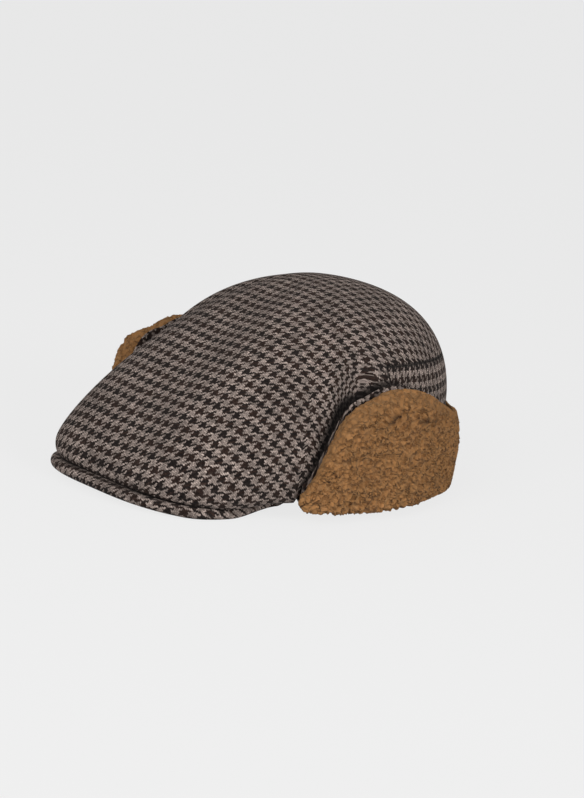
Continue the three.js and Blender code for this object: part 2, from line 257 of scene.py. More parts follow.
def crown_meridians(angle, dome_rings, roll_rings, wall_rings):
    """Meridians of the crown's outer face from the crest to the rim: [angle, ring, (distance, height)]."""
    bulge = bulge_radius(angle)
    rim = rim_radius(angle)
    wall_top = np.maximum(rim, bulge - roll_at(angle))
    seat = seat_height(polar(angle, rim, 0))
    rim_z = lerp(seat, RIM_Z, smoothstep(left_angle(angle), SEAT_END_ANGLE, FLAP_START_ANGLE))
    band_z = rim_z + SEAM_GAP
    tuck = from_table(CROWN_SECTIONS, "tuck", angle)
    tuck_z = np.maximum(band_z + SEAM_GAP, CROWN_HEIGHT * tuck)
    bulge_z = tuck_z + CROWN_HEIGHT * (from_table(CROWN_SECTIONS, "bulge", angle) - tuck)
    crest = from_table(CROWN_SECTIONS, "crest", angle) * bulge
    side_z = lerp(bulge_z, CROWN_HEIGHT, from_table(CROWN_SECTIONS, "side", angle))
    rings = []
    for share in np.linspace(0, 1, dome_rings + 1):
        a, b, c = 3 * (1 - share) ** 2 * share, 3 * (1 - share) * share**2, share**3
        top = (1 - share) ** 3 + a
        rings.append((a * crest + (b + c) * bulge, top * CROWN_HEIGHT + b * side_z + c * bulge_z))
    for turn in np.linspace(0, math.pi / 2, roll_rings + 1)[1:]:
        rings.append((lerp(wall_top, bulge, math.cos(turn)), lerp(bulge_z, tuck_z, math.sin(turn))))
    for share in np.linspace(0, 1, wall_rings + 1)[1:]:
        rings.append((lerp(wall_top, rim, share), lerp(tuck_z, band_z, share)))
    rings.append((rim, rim_z))
    return np.moveaxis(np.array(rings), -1, 0)


# Mesh helpers


def grid_faces(rows, columns, start=0, closed=True, inward=False):
    """Quads of a grid whose rows may close on themselves."""
    around = columns if closed else columns - 1
    row, column = np.meshgrid(np.arange(rows - 1), np.arange(around), indexing="ij")
    a = start + row * columns + column
    b = start + row * columns + (column + 1) % columns
    faces = np.stack([a, a + columns, b + columns, b], -1).reshape(-1, 4)
    return faces[:, ::-1] if inward else faces


def band_faces(stations, count):
    """Faces of a band of closed sections, with both of its ends."""
    last = (stations - 1) * count
    start = list(range(count))
    end = list(range(last, last + count))
    return [*grid_faces(stations, count), start, end[::-1]]


def make_piece(name, points, faces, material, values):
    """A smooth mesh from points in millimetres, with named values at its points."""
    mesh = bpy.data.meshes.new(name)
    mesh.from_pydata(np.asarray(points) * MM + np.array(HEAD_CENTRE), [], [list(f) for f in faces])
    mesh.shade_smooth()
    for key, value in values.items():
        kind = "FLOAT" if value.ndim == 1 else "FLOAT_VECTOR"
        field = "value" if value.ndim == 1 else "vector"
        mesh.attributes.new(key, kind, "POINT").data.foreach_set(field, value.astype(np.float32).ravel())
    mesh.materials.append(material)
    piece = bpy.data.objects.new(name, mesh)
    bpy.context.collection.objects.link(piece)
    return piece


def grid_normals(points, closed=True):
    """Unit normals of a grid [row, column, xyz] by the differences of its neighbours."""
    down = np.gradient(points, axis=0)
    if closed:
        around = np.roll(points, -1, axis=1) - np.roll(points, 1, axis=1)
    else:
        around = np.gradient(points, axis=1)
    normals = np.cross(down, around)
    return normals / np.maximum(np.linalg.norm(normals, axis=-1, keepdims=True), 1e-9)


def running_length(points, axis):
    """Distance along a grid's lines from their first point."""
    steps = np.linalg.norm(np.diff(points, axis=axis), axis=-1)
    start = np.zeros_like(np.take(steps, [0], axis=axis))
    return np.concatenate([start, np.cumsum(steps, axis=axis)], axis=axis)


# Uneven lays: the same every run

JITTER_SIZE = 32
JITTER = np.random.default_rng(11).random((JITTER_SIZE, JITTER_SIZE, JITTER_SIZE, 3))
# Farther than any scattered centre, in shares of their spacing
FAR = 9.0


def cells(points, size):
    """Distances to the nearest and second nearest of scattered centres, in shares of their spacing."""
    place = points / size
    home = np.floor(place).astype(int)
    nearest = np.full(len(points), FAR)
    second = np.full(len(points), FAR)
    for offset in np.ndindex(3, 3, 3):
        cell = home + np.array(offset) - 1
        centre = cell + JITTER[tuple((cell % JITTER_SIZE).T)]
        distance = np.linalg.norm(place - centre, axis=1)
        second = np.minimum(second, np.maximum(nearest, distance))
        nearest = np.minimum(nearest, distance)
    return nearest, second


def drift(points, size, column=0):
    """Smooth random values from -1 to 1 that change over a distance of about size."""
    place = points / size
    home = np.floor(place).astype(int)
    share = place - home
    share = share * share * (3 - 2 * share)
    total = np.zeros(len(points))
    for offset in np.ndindex(2, 2, 2):
        corner = np.array(offset)
        weight = np.prod(np.where(corner == 1, share, 1 - share), axis=1)
        total += weight * JITTER[tuple(((home + corner) % JITTER_SIZE).T)][:, column]
    return 2 * total - 1


# Shader helpers


class Nodes:
    """A node tree with short ways to add and join nodes."""

    def __init__(self, tree):
        self.tree = tree

    def add(self, kind, **settings):
        node = self.tree.nodes.new("ShaderNode" + kind)
        for key, value in settings.items():
            setattr(node, key, value)
        return node

    def put(self, socket, value):
        if isinstance(value, bpy.types.NodeSocket):
            self.tree.links.new(value, socket)
        else:
            socket.default_value = value

    def sum(self, operation, *values):
        node = self.add("Math", operation=operation)
        for socket, value in zip(node.inputs, values):
            self.put(socket, value)
        return node.outputs[0]

    def vector(self, operation, *values):
        node = self.add("VectorMath", operation=operation)
        for socket, value in zip(node.inputs, values):
            self.put(socket, value)
        return node.outputs[0]

    def scaled(self, vector, factor):
        node = self.add("VectorMath", operation="SCALE")
        self.put(node.inputs[0], vector)
        self.put(node.inputs["Scale"], factor)
        return node.outputs[0]

    def mix(self, factor, first, second, kind="RGBA"):
        node = self.add("Mix", data_type=kind)
        picks = {"FLOAT": (0, 2, 3, 0), "VECTOR": (0, 4, 5, 1), "RGBA": (0, 6, 7, 2)}[kind]
        for index, value in zip(picks, (factor, first, second)):
            self.put(node.inputs[index], value)
        return node.outputs[picks[3]]

    def ramp(self, value, low, high, to_low=0.0, to_high=1.0):
        node = self.add("MapRange", interpolation_type="SMOOTHSTEP")
        for index, setting in enumerate((value, low, high, to_low, to_high)):
            self.put(node.inputs[index], setting)
        return node.outputs[0]

    def noise(self, vector, scale, detail, output="Fac"):
        node = self.add("TexNoise")
        self.put(node.inputs["Vector"], vector)
        self.put(node.inputs["Scale"], scale)
        self.put(node.inputs["Detail"], detail)
        return node.outputs[output]

    def wander(self, place, scale, detail):
        """A smooth random push, as much one way as the other."""
        noise = self.noise(place, scale, detail, output="Color")
        return self.vector("SUBTRACT", noise, (0.5, 0.5, 0.5))

    def split(self, vector):
        node = self.add("SeparateXYZ")
        self.put(node.inputs[0], vector)
        return node.outputs

    def use(self, group, **values):
        node = self.add("Group", node_tree=group)
        for key, value in values.items():
            self.put(node.inputs[key.replace("_", " ")], value)
        return node.outputs

    def value_on_cloth(self, name, output="Vector"):
        return self.add("Attribute", attribute_name=name).outputs[output]

    def bump(self, height, distance):
        node = self.add("Bump")
        self.put(node.inputs["Height"], height)
        self.put(node.inputs["Distance"], distance)
        return node.outputs[0]


def new_group(name, inputs, outputs):
    """An empty node group with named sockets, and its input and output nodes."""
    group = bpy.data.node_groups.new(name, "ShaderNodeTree")
    for label, (kind, value) in inputs.items():
        socket = group.interface.new_socket(label, in_out="INPUT", socket_type="NodeSocket" + kind)
        if value is not None:
            socket.default_value = value
    for label, kind in outputs.items():
        group.interface.new_socket(label, in_out="OUTPUT", socket_type="NodeSocket" + kind)
    given = group.nodes.new("NodeGroupInput").outputs
    results = group.nodes.new("NodeGroupOutput").inputs
    return group, Nodes(group), given, results


def new_material(name):
    material = bpy.data.materials.new(name)
    material.use_nodes = True
    nodes = Nodes(material.node_tree)
    return material, nodes, material.node_tree.nodes["Principled BSDF"].inputs


def set_inputs(shader, **values):
    for label, value in values.items():
        shader[label.replace("_", " ")].default_value = value


FIBRE_CROSSING = math.radians(38)


def wool_fibres_group():
    """Loose fibres on wool: short streaks that lighten or darken the yarn under them."""
    group, nodes, given, results = new_group(
        "wool_fibres",
        {"Place": ("Vector", None), "Fibre Length": ("Float", 2.4), "Fibre Width": ("Float", 0.35)},
        {"Shade": "Float", "Height": "Float"},
    )
    bend = nodes.noise(given["Place"], 0.22, 1.0, output="Color")
    bent = nodes.vector("ADD", given["Place"], nodes.scaled(bend, 4.0))
    turned = nodes.add("VectorRotate", rotation_type="Z_AXIS")
    nodes.put(turned.inputs["Vector"], bent)
    nodes.put(turned.inputs["Angle"], FIBRE_CROSSING)
    long, wide = given["Fibre Length"], given["Fibre Width"]
    stretch = nodes.add("CombineXYZ")
    for socket, size in zip(stretch.inputs, (long, wide, wide)):
        nodes.put(socket, nodes.sum("DIVIDE", 1.0, size))
    first = nodes.noise(nodes.vector("MULTIPLY", bent, stretch.outputs[0]), 1.0, 2.0)
    second = nodes.noise(nodes.vector("MULTIPLY", turned.outputs[0], stretch.outputs[0]), 1.0, 2.0)
    both = nodes.sum("MAXIMUM", first, second)
    nodes.put(results["Shade"], nodes.ramp(both, 0.42, 0.72))
    nodes.put(results["Height"], both)
    return group


YARNS_IN_CHECK = 8.0
DARK_YARNS = 4
TWILL_REPEAT = 4.0
TWILL_OVER = 2
CHECK_REPEAT = (6.7, -7.6, 1.0)
CLOTH_PULL = 2.4
LIGHT_YARN = (0.365, 0.293, 0.258, 1)
DARK_YARN = (0.009, 0.006, 0.006, 1)
BROWN_YARN = (0.024, 0.012, 0.009, 1)
CROSS_TINT = (0.045, 0.032, 0.027, 1)
CROSS_SHADE = 0.24
LINT = (0.30, 0.24, 0.20, 1)
PAINTED_SHADE_DARK = (0.004, 0.003, 0.003, 1)
SEAM_GROOVE = (0.3, 1.2)
SEAM_SINK = -6.0
WOOL_RELIEF = 0.00035
WOOL_FUZZ = 1.25
# How far the tone of yarns and fibres varies, and the least that it is
YARN_TONES = (0.8, 0.56)
FIBRE_TONES = (0.62, 0.64)
LINT_SHARE = 0.03


def yarn_tone(nodes, over, across_yarn, along_yarn):
    """A tone of its own for each stretch of yarn between two dips."""
    stretch = nodes.add("CombineXYZ")
    nodes.put(stretch.inputs[0], nodes.mix(over, along_yarn, across_yarn, "FLOAT"))
    crossing = nodes.sum("ADD", across_yarn, along_yarn)
    nodes.put(stretch.inputs[1], nodes.sum("FLOOR", nodes.sum("DIVIDE", crossing, TWILL_REPEAT)))
    nodes.put(stretch.inputs[2], over)
    own_tone = nodes.add("TexWhiteNoise", noise_dimensions="3D")
    nodes.put(own_tone.inputs["Vector"], stretch.outputs[0])
    return nodes.sum("MULTIPLY_ADD", own_tone.outputs["Value"], *YARN_TONES)


def yarn_relief(nodes, over, across_ways, along_ways):
    """Height of the yarns: each is round, and dips where it goes under."""
    (across, across_yarn), (along, along_yarn) = across_ways, along_ways
    across_round = nodes.sum("PINGPONG", across, 0.5)
    along_round = nodes.sum("PINGPONG", along, 0.5)
    round_yarn = nodes.sum("MULTIPLY", nodes.mix(over, along_round, across_round, "FLOAT"), 2.0)
    over_run = nodes.sum("FLOORED_MODULO", nodes.sum("ADD", along, across_yarn), TWILL_REPEAT)
    under_run = nodes.sum("FLOORED_MODULO", nodes.sum("ADD", across, along_yarn), TWILL_REPEAT)
    run = nodes.sum("PINGPONG", nodes.mix(over, under_run, over_run, "FLOAT"), 1.0)
    hump = nodes.sum("MULTIPLY_ADD", run, 0.6, 0.4)
    return nodes.sum("MULTIPLY", nodes.sum("POWER", round_yarn, 0.6), hump)


def houndstooth_group():
    """Four dark and four light yarns each way in a two over two twill, which makes the pointed checks."""
    group, nodes, given, results = new_group(
        "houndstooth",
        {
            "Lay": ("Vector", None),
            "Repeat": ("Vector", (6.5, 7.6, 1.0)),
            "Fuzz": ("Float", 0.8),
            "Light Yarn": ("Color", (0.4, 0.33, 0.28, 1)),
            "Dark Yarn": ("Color", (0.03, 0.02, 0.02, 1)),
            "Other Dark Yarn": ("Color", (0.05, 0.03, 0.02, 1)),
        },
        {"Color": "Color", "Height": "Float"},
    )
    ragged = nodes.wander(given["Lay"], 0.9, 2.0)
    pulled = nodes.wander(given["Lay"], 0.06, 1.0)
    lay = nodes.vector("ADD", given["Lay"], nodes.scaled(ragged, given["Fuzz"]))
    lay = nodes.vector("ADD", lay, nodes.scaled(pulled, CLOTH_PULL))
    repeats = nodes.vector("DIVIDE", lay, given["Repeat"])
    across, along, _ = nodes.split(nodes.scaled(repeats, YARNS_IN_CHECK))
    across_yarn, along_yarn = nodes.sum("FLOOR", across), nodes.sum("FLOOR", along)
    dark_across, dark_along = (
        nodes.sum("LESS_THAN", nodes.sum("FLOORED_MODULO", yarn, YARNS_IN_CHECK), DARK_YARNS - 0.5)
        for yarn in (across_yarn, along_yarn)
    )
    crossing = nodes.sum("ADD", across_yarn, along_yarn)
    over = nodes.sum("LESS_THAN", nodes.sum("FLOORED_MODULO", crossing, TWILL_REPEAT), TWILL_OVER - 0.5)
    dark = nodes.mix(over, dark_along, dark_across, "FLOAT")
    # Every other dark stripe is spun a little browner
    upper = nodes.mix(over, along, across, "FLOAT")
    stripe = nodes.sum("FLOOR", nodes.sum("DIVIDE", upper, YARNS_IN_CHECK))
    other = nodes.sum("FLOORED_MODULO", stripe, 2.0)
    dark_yarn = nodes.mix(other, given["Dark Yarn"], given["Other Dark Yarn"])
    tone_and_shade = yarn_tone(nodes, over, across_yarn, along_yarn)
    height = yarn_relief(nodes, over, (across, across_yarn), (along, along_yarn))
    # Painted shade in the dips and gaps between the yarns and lighter colour on their rounded tops, set by
    # the weave's height, on the yarns' own random tone
    tone_and_shade = nodes.sum("MULTIPLY", tone_and_shade, nodes.ramp(height, 0.0, 0.9, 0.5, 1.25))
    yarn_colour = nodes.mix(dark, given["Light Yarn"], dark_yarn)
    # The yarns that run one way are all a little darker
    yarn_colour = nodes.mix(nodes.sum("MULTIPLY", over, CROSS_SHADE), yarn_colour, CROSS_TINT)
    nodes.put(results["Height"], height)
    nodes.put(results["Color"], nodes.scaled(yarn_colour, tone_and_shade))
    return group


def finish_wool(nodes, shader, lay, shadow):
    """Checked wool: the weave, its loose fibres, and painted shade in the seam's groove, in folds and in
    gaps.
    """
    weave = nodes.use(
        HOUNDSTOOTH, Lay=lay, Repeat=CHECK_REPEAT, Fuzz=WOOL_FUZZ,
        Light_Yarn=LIGHT_YARN, Dark_Yarn=DARK_YARN, Other_Dark_Yarn=BROWN_YARN,
    )
    fibres = nodes.use(WOOL_FIBRES, Place=lay, Fibre_Length=2.6, Fibre_Width=0.4)
    worn = nodes.noise(lay, 0.035, 3.0)
    shade = nodes.sum("MULTIPLY_ADD", fibres["Shade"], *FIBRE_TONES)
    shade = nodes.sum("MULTIPLY", shade, nodes.ramp(worn, 0.3, 0.7, 0.88, 1.12))
    colour = nodes.scaled(weave["Color"], shade)
    lint = nodes.sum("MULTIPLY", fibres["Shade"], LINT_SHARE)
    colour = nodes.mix(lint, colour, LINT)
    # Painted shade: the wool is darkened towards near black in the seam's groove, behind the flap and in
    # the gaps at the crown's edge
    nodes.put(shader["Base Color"], nodes.mix(shadow, colour, PAINTED_SHADE_DARK))
    set_inputs(
        shader, Roughness=0.95, Specular_IOR_Level=0.1,
        Sheen_Weight=0.03, Sheen_Roughness=0.6, Sheen_Tint=(0.8, 0.72, 0.66, 1),
    )
    relief = nodes.sum("MULTIPLY_ADD", fibres["Height"], 0.8, weave["Height"])
    sunk_relief = nodes.sum("MULTIPLY_ADD", shadow, SEAM_SINK, relief)
    nodes.put(shader["Normal"], nodes.bump(sunk_relief, WOOL_RELIEF))


def crown_wool():
    """The crown's wool: the top panel's lay, the back panel's lay, and the seam between them."""
    material, nodes, shader = new_material("checked_wool_crown")
    seam = nodes.value_on_cloth("panel_seam", "Fac")
    behind = nodes.sum("LESS_THAN", seam, 0.0)
    lay = nodes.mix(behind, nodes.value_on_cloth("top_lay"), nodes.value_on_cloth("back_lay"), "VECTOR")
    # The seam's groove is painted dark as shade, added to the painted shadow behind the flap and along the
    # crown's edge
    groove_shade = nodes.ramp(nodes.sum("ABSOLUTE", seam), *SEAM_GROOVE, 0.85, 0.0)
    shadow = nodes.sum("MAXIMUM", groove_shade, nodes.value_on_cloth("shadow", "Fac"))
    finish_wool(nodes, shader, lay, shadow)
    return material


def plain_wool(name):
    material, nodes, shader = new_material(name)
    finish_wool(nodes, shader, nodes.value_on_cloth("lay"), nodes.value_on_cloth("shadow", "Fac"))
    return material


FLEECE_CREVICE_SHADE = (0.034, 0.012, 0.004, 1)
FLEECE_CARAMEL = (0.350, 0.172, 0.064, 1)
FLEECE_TOP_HIGHLIGHT = (0.56, 0.33, 0.155, 1)
FLEECE_PATCH = (0.34, 0.15, 0.055, 1)
FLEECE_EDGE = (0.235, 0.115, 0.043, 1)
FLEECE_DENT_SHADE = (0.035, 0.012, 0.005, 1)
FLEECE_RELIEF = 0.0014


def fleece_pile():
    """Curly pile: caramel on the curls, with painted shade in dark brown between them, a painted highlight
    on the tallest and painted shade in the dents.
    """
    material, nodes, shader = new_material("fleece")
    place = nodes.value_on_cloth("pile_place")
    curl = nodes.value_on_cloth("curl", "Fac")
    edge = nodes.value_on_cloth("edge_roll", "Fac")
    bent = nodes.vector("ADD", place, nodes.scaled(nodes.wander(place, 0.16, 3.0), 11.0))
    wave = nodes.noise(nodes.vector("MULTIPLY", bent, (1.0, 0.7, 1.3)), 0.21, 2.0)
    knot = nodes.ramp(nodes.sum("ABSOLUTE", nodes.sum("SUBTRACT", wave, 0.5)), 0.0, 0.085)
    fibres = nodes.use(WOOL_FIBRES, Place=bent, Fibre_Length=2.6, Fibre_Width=0.55)
    height = nodes.sum("MULTIPLY_ADD", knot, 0.42, nodes.sum("MULTIPLY", curl, 0.48))
    height = nodes.sum("MULTIPLY_ADD", fibres["Shade"], 0.18, height)
    # Painted shade: the pile is darkened in the hollows between curls and knots, by its height
    tone_and_shade = nodes.ramp(height, 0.1, 0.6)
    colour = nodes.mix(tone_and_shade, FLEECE_CREVICE_SHADE, FLEECE_CARAMEL)
    # Painted highlight on the tallest curls
    colour = nodes.mix(nodes.ramp(height, 0.72, 1.15, 0.0, 0.7), colour, FLEECE_TOP_HIGHLIGHT)
    patch = nodes.ramp(nodes.noise(place, 0.09, 2.0), 0.35, 0.7)
    colour = nodes.mix(nodes.sum("MULTIPLY", patch, 0.22), colour, FLEECE_PATCH)
    colour = nodes.mix(nodes.sum("MULTIPLY", edge, 0.45), colour, FLEECE_EDGE)
    # Painted shade in the dents of the pile
    colour = nodes.mix(nodes.value_on_cloth("dent_shade", "Fac"), colour, FLEECE_DENT_SHADE)
    nodes.put(shader["Base Color"], colour)
    set_inputs(
        shader, Roughness=1.0, Specular_IOR_Level=0.1,
        Sheen_Weight=0.15, Sheen_Roughness=0.5, Sheen_Tint=(0.95, 0.72, 0.45, 1),
    )
    nodes.put(shader["Normal"], nodes.bump(height, FLEECE_RELIEF))
    return material


WOOL_FIBRES = wool_fibres_group()
HOUNDSTOOTH = houndstooth_group()

# How dark the painted shade in a fold or a gap is at its deepest
SHADOW_DEPTH = 0.92

# The crown

CROWN_COLUMNS = 360
DOME_RINGS = 60
ROLL_RINGS = 8
WALL_RINGS = 12
WEFT_SPACING = 2.0
WEFT_STEP = 1.0
WEFT_STEPS = 200
WEFT_SLOWEST = WEFT_STEP / 5
LEAST_APART = 0.45
MOST_APART = 1.5
LAY_EASINGS = 90
REACH_EASING = 4
WEAVE_TURN = 0.2
TURN_REACH = 30
TURN_SPAN = 45
TURN_MIDDLE = 100
FLAP_SHADOW = (-1.5, 2.5)
EDGE_SHADOW = (0.3, 1.6)
EDGE_SLOPE = 0.72
EDGE_RUN = 6
EDGE_FULL_ANGLE = 28
EDGE_END_ANGLE = 60


def weft_lines(tree, ridge):
    """Lines that leave the ridge squarely and run straight on over the crown's left side."""
    rows = []
    for start in ridge:
        place, heading = Vector(start), Vector((1, 0, 0))
        row = [place]
        for _ in range(WEFT_STEPS):
            place, normal, _, _ = tree.find_nearest(place + heading * WEFT_STEP)
            heading = (heading - normal * heading.dot(normal)).normalized()
            row.append(place)
        rows.append(row)
    return np.array(rows)


def running_on(lay, down, starts):
    """The lay with the cloth running straight on down each meridian from a ring of its own."""
    straight = lay.copy()
    for j, start in enumerate(starts):
        edge = down[start, j]
        before = [np.interp(edge - EDGE_RUN, down[:, j], lay[:, j, k]) for k in range(2)]
        heading = lay[start, j, :2] - before
        heading /= max(np.linalg.norm(heading), 1e-6)
        below = down[:, j] > edge
        straight[below, j, :2] = lay[start, j, :2] + heading * (down[below, j] - edge)[:, None]
    return straight


def crest_fan(crest, first=0, inward=False):
    """Triangles from the crest's point to the ring of points that starts at first."""
    column = first + np.arange(CROWN_COLUMNS)
    following = np.roll(column, -1)
    pair = (following, column) if inward else (column, following)
    return np.stack([np.full(CROWN_COLUMNS, crest), *pair], -1)


def crown_faces(rows):
    """Faces of the outer and inner shells with their tops, and of the edge between them."""
    total = rows * CROWN_COLUMNS
    edge = total - CROWN_COLUMNS + np.arange(CROWN_COLUMNS)
    following = np.roll(edge, -1)
    return [
        *grid_faces(rows, CROWN_COLUMNS),
        *grid_faces(rows, CROWN_COLUMNS, total, inward=True),
        *np.stack([edge, total + edge, total + following, following], -1),
        *crest_fan(2 * total),
        *crest_fan(2 * total + 1, total, inward=True),
    ]


def turned_on_sides(u, v):
    """The lay with the weave turned a little on the sides, down towards the front."""
    turned = u + WEAVE_TURN * u / (u + TURN_REACH) * TURN_SPAN * np.tanh((v - TURN_MIDDLE) / TURN_SPAN)
    return turned, v - WEAVE_TURN * (u - TURN_REACH * np.log1p(u / TURN_REACH))


def eased(lay):
    """The lay with each point drawn towards its neighbours, but for the first and the last ring."""
    for _ in range(LAY_EASINGS):
        around = (np.roll(lay, 1, axis=1) + np.roll(lay, -1, axis=1)) / 2
        lay[1:-1] = (lay[1:-1] * 2 + around[1:-1] + (lay[:-2] + lay[2:]) / 2) / 4
    return lay


def lay_of_cloth(rings, crest):
    """How the top panel lies: distance square off the ridge, and distance along the ridge."""
    places = rings.reshape(-1, 3)
    faces = [*grid_faces(len(rings), CROWN_COLUMNS).tolist(), *crest_fan(len(places)).tolist()]
    tree = BVHTree.FromPolygons([*places.tolist(), crest], faces)
    ridge = np.concatenate([rings[::-1, 0], [crest], rings[:, CROWN_COLUMNS // 2]])
    along = running_length(ridge, axis=0)
    stations = np.arange(0, along[-1], WEFT_SPACING)
    ridge = np.stack([np.interp(stations, along, ridge[:, k]) for k in range(3)], -1)
    lines = weft_lines(tree, ridge)
    forward = np.gradient(lines, axis=1)
    sideways = np.gradient(lines, axis=0)
    # Only as far as neighbouring lines neither close up nor spread
    apart = np.linalg.norm(sideways, axis=-1) / WEFT_SPACING
    even = (apart > LEAST_APART) & (apart < MOST_APART)
    pace = np.linalg.norm(forward, axis=-1)
    free = np.logical_and.accumulate(even, axis=1) & (pace > WEFT_SLOWEST)
    reach = running_length(lines, axis=1)
    samples = KDTree(int(free.sum()))
    for i, j in np.argwhere(free):
        samples.insert(lines[i, j], int(i * lines.shape[1] + j))
    samples.balance()
    # The lines cover the left side, and the right side is looked up as its mirror
    folded = np.concatenate([np.abs(places[:, :1]), places[:, 1:]], -1)
    nearest = np.array([samples.find(place)[1] for place in folded])
    i, j = nearest // lines.shape[1], nearest % lines.shape[1]
    off = folded - lines[i, j]
    past, aside = forward[i, j], sideways[i, j]
    u = np.maximum(reach[i, j] + (off * past).sum(-1) / pace[i, j], 0)
    v = (i + (off * aside).sum(-1) / (aside ** 2).sum(-1)) * WEFT_SPACING
    u, v = turned_on_sides(u, v)
    lay = np.stack([np.copysign(u, places[:, 0]), v, np.zeros(len(u))], -1).reshape(rings.shape)
    # Below the last ring that a line passes near, each meridian runs straight on down
    near = (np.linalg.norm(off, axis=-1) < WEFT_SPACING).reshape(rings.shape[:2])
    reached = np.where(near.all(axis=0), len(rings), np.argmin(near, axis=0)) - 2
    reached = np.min([np.roll(reached, shift) for shift in range(-REACH_EASING, REACH_EASING + 1)], axis=0)
    lay = running_on(lay, running_length(rings, axis=0), np.maximum(reached, 1))
    return eased(lay), np.interp(CREST_SETBACK, ridge[:, 1], stations)


def carried_over_edges(lay, rings, angles):
    """The lay where the cloth turns down over the front, and where it turns in under the widest line."""
    down = running_length(rings, axis=0)
    slope = -np.gradient(rings[..., 2], axis=0) / np.gradient(down, axis=0)
    share = 1 - smoothstep(left_angle(angles), EDGE_FULL_ANGLE, EDGE_END_ANGLE)
    over_front = running_on(lay, down, np.argmax(slope > EDGE_SLOPE, axis=0))
    lay = lerp(lay, over_front, share[None, :, None])
    return running_on(lay, down, np.full(len(angles), DOME_RINGS - 1))


def back_panel_lay(rings, angles):
    """How the back panel lies: round the head from the nape, and down from its upper seam."""
    widest = polar(angles, bulge_radius(angles), 0)
    around = np.cumsum(np.linalg.norm(widest - np.roll(widest, 1, axis=0), axis=1))
    around -= np.interp(180, angles, around)
    down = running_length(rings, axis=0)
    heights = rings[..., 2]
    columns = zip(heights.T, down.T)
    at_seam = np.array([np.interp(-PANEL_SEAM_HEIGHT, -height, run) for height, run in columns])
    v = at_seam - down
    u = np.broadcast_to(around, v.shape)
    return np.stack([u, v, np.zeros(v.shape)], -1)


def fold_shadow(points):
    """Painted shadow where the crown runs in behind the folded flap: 1 in the fold, 0 in the open."""
    plan = plan_angle(points)
    radius = np.hypot(points[:, 0], points[:, 1])
    start = np.maximum(plan, FLAP_START_ANGLE)
    degree = np.radians(radius)
    climb = (flap_top(start + 0.5) - flap_top(start - 0.5)) / degree
    over = (points[:, 2] - flap_top(start)) / np.hypot(1, climb)
    ahead = (FLAP_START_ANGLE - plan) * degree
    clear = np.where(plan < FLAP_START_ANGLE, np.hypot(ahead, np.maximum(over, 0)), over)
    return 1 - smoothstep(clear, *FLAP_SHADOW)


def build_crown(material):
    """The cloth shell: an outer and an inner face and the edge between them."""
    angles = np.arange(CROWN_COLUMNS) * 360 / CROWN_COLUMNS
    meridians = crown_meridians(angles, DOME_RINGS, ROLL_RINGS, WALL_RINGS)[:, 1:]
    rings = np.swapaxes(polar(angles[:, None], meridians[..., 0], meridians[..., 1]), 0, 1)
    share = 1 - meridians[..., 0].T / bulge_radius(angles)
    rings[:DOME_RINGS, :, 1] += CREST_SETBACK * share[:DOME_RINGS]
    normals = grid_normals(rings)
    inner = rings - normals * CROWN_CLOTH
    seated = left_angle(angles) <= SEAT_END_ANGLE
    inner[-1, :, 2] = np.where(seated, seat_height(inner[-1]), rings[-1, :, 2])
    crest = np.array([[0, CREST_SETBACK, CROWN_HEIGHT], [0, CREST_SETBACK, CROWN_HEIGHT - CROWN_CLOTH]])
    points = np.concatenate([rings.reshape(-1, 3), inner.reshape(-1, 3), crest])
    lay, at_crest = lay_of_cloth(rings, crest[0])
    lay = carried_over_edges(lay, rings, angles).reshape(-1, 3)
    lay = np.concatenate([lay, lay, [[0, at_crest, 0], [0, at_crest, 0]]])
    back = back_panel_lay(rings, angles).reshape(-1, 3)
    back = np.concatenate([back, back, np.zeros((2, 3))])
    above = points[:, 2] - PANEL_SEAM_HEIGHT
    ahead = np.radians(PANEL_SEAM_ANGLE - plan_angle(points)) * (HEAD_WIDTH / 2 + CROWN_SIDE_FULLNESS)
    seam = np.maximum(above, ahead)
    down = running_length(rings, axis=0)
    # Painted shade along the crown's lower edge, in the gap where it meets the peak and the band
    edge_gap_shade = 1 - smoothstep((down[-1] - down).ravel(), *EDGE_SHADOW)
    shadow = fold_shadow(points)
    shadow[:len(edge_gap_shade)] = np.maximum(shadow[:len(edge_gap_shade)], edge_gap_shade)
    return make_piece(
        "crown_cloth", points, crown_faces(len(rings)), material,
        {"top_lay": lay, "back_lay": back, "panel_seam": seam, "shadow": SHADOW_DEPTH * shadow},
    )


# The peak

PEAK_STATIONS = 150
PEAK_ROWS = 14
LIP_STEPS = 14
PEAK_TAPER_ANGLE = 4
PEAK_TAPER_DEPTH = 2.5
PEAK_TAPER_THINNING = 0.6
LIP_SHADOW = (0.4, 2.2)


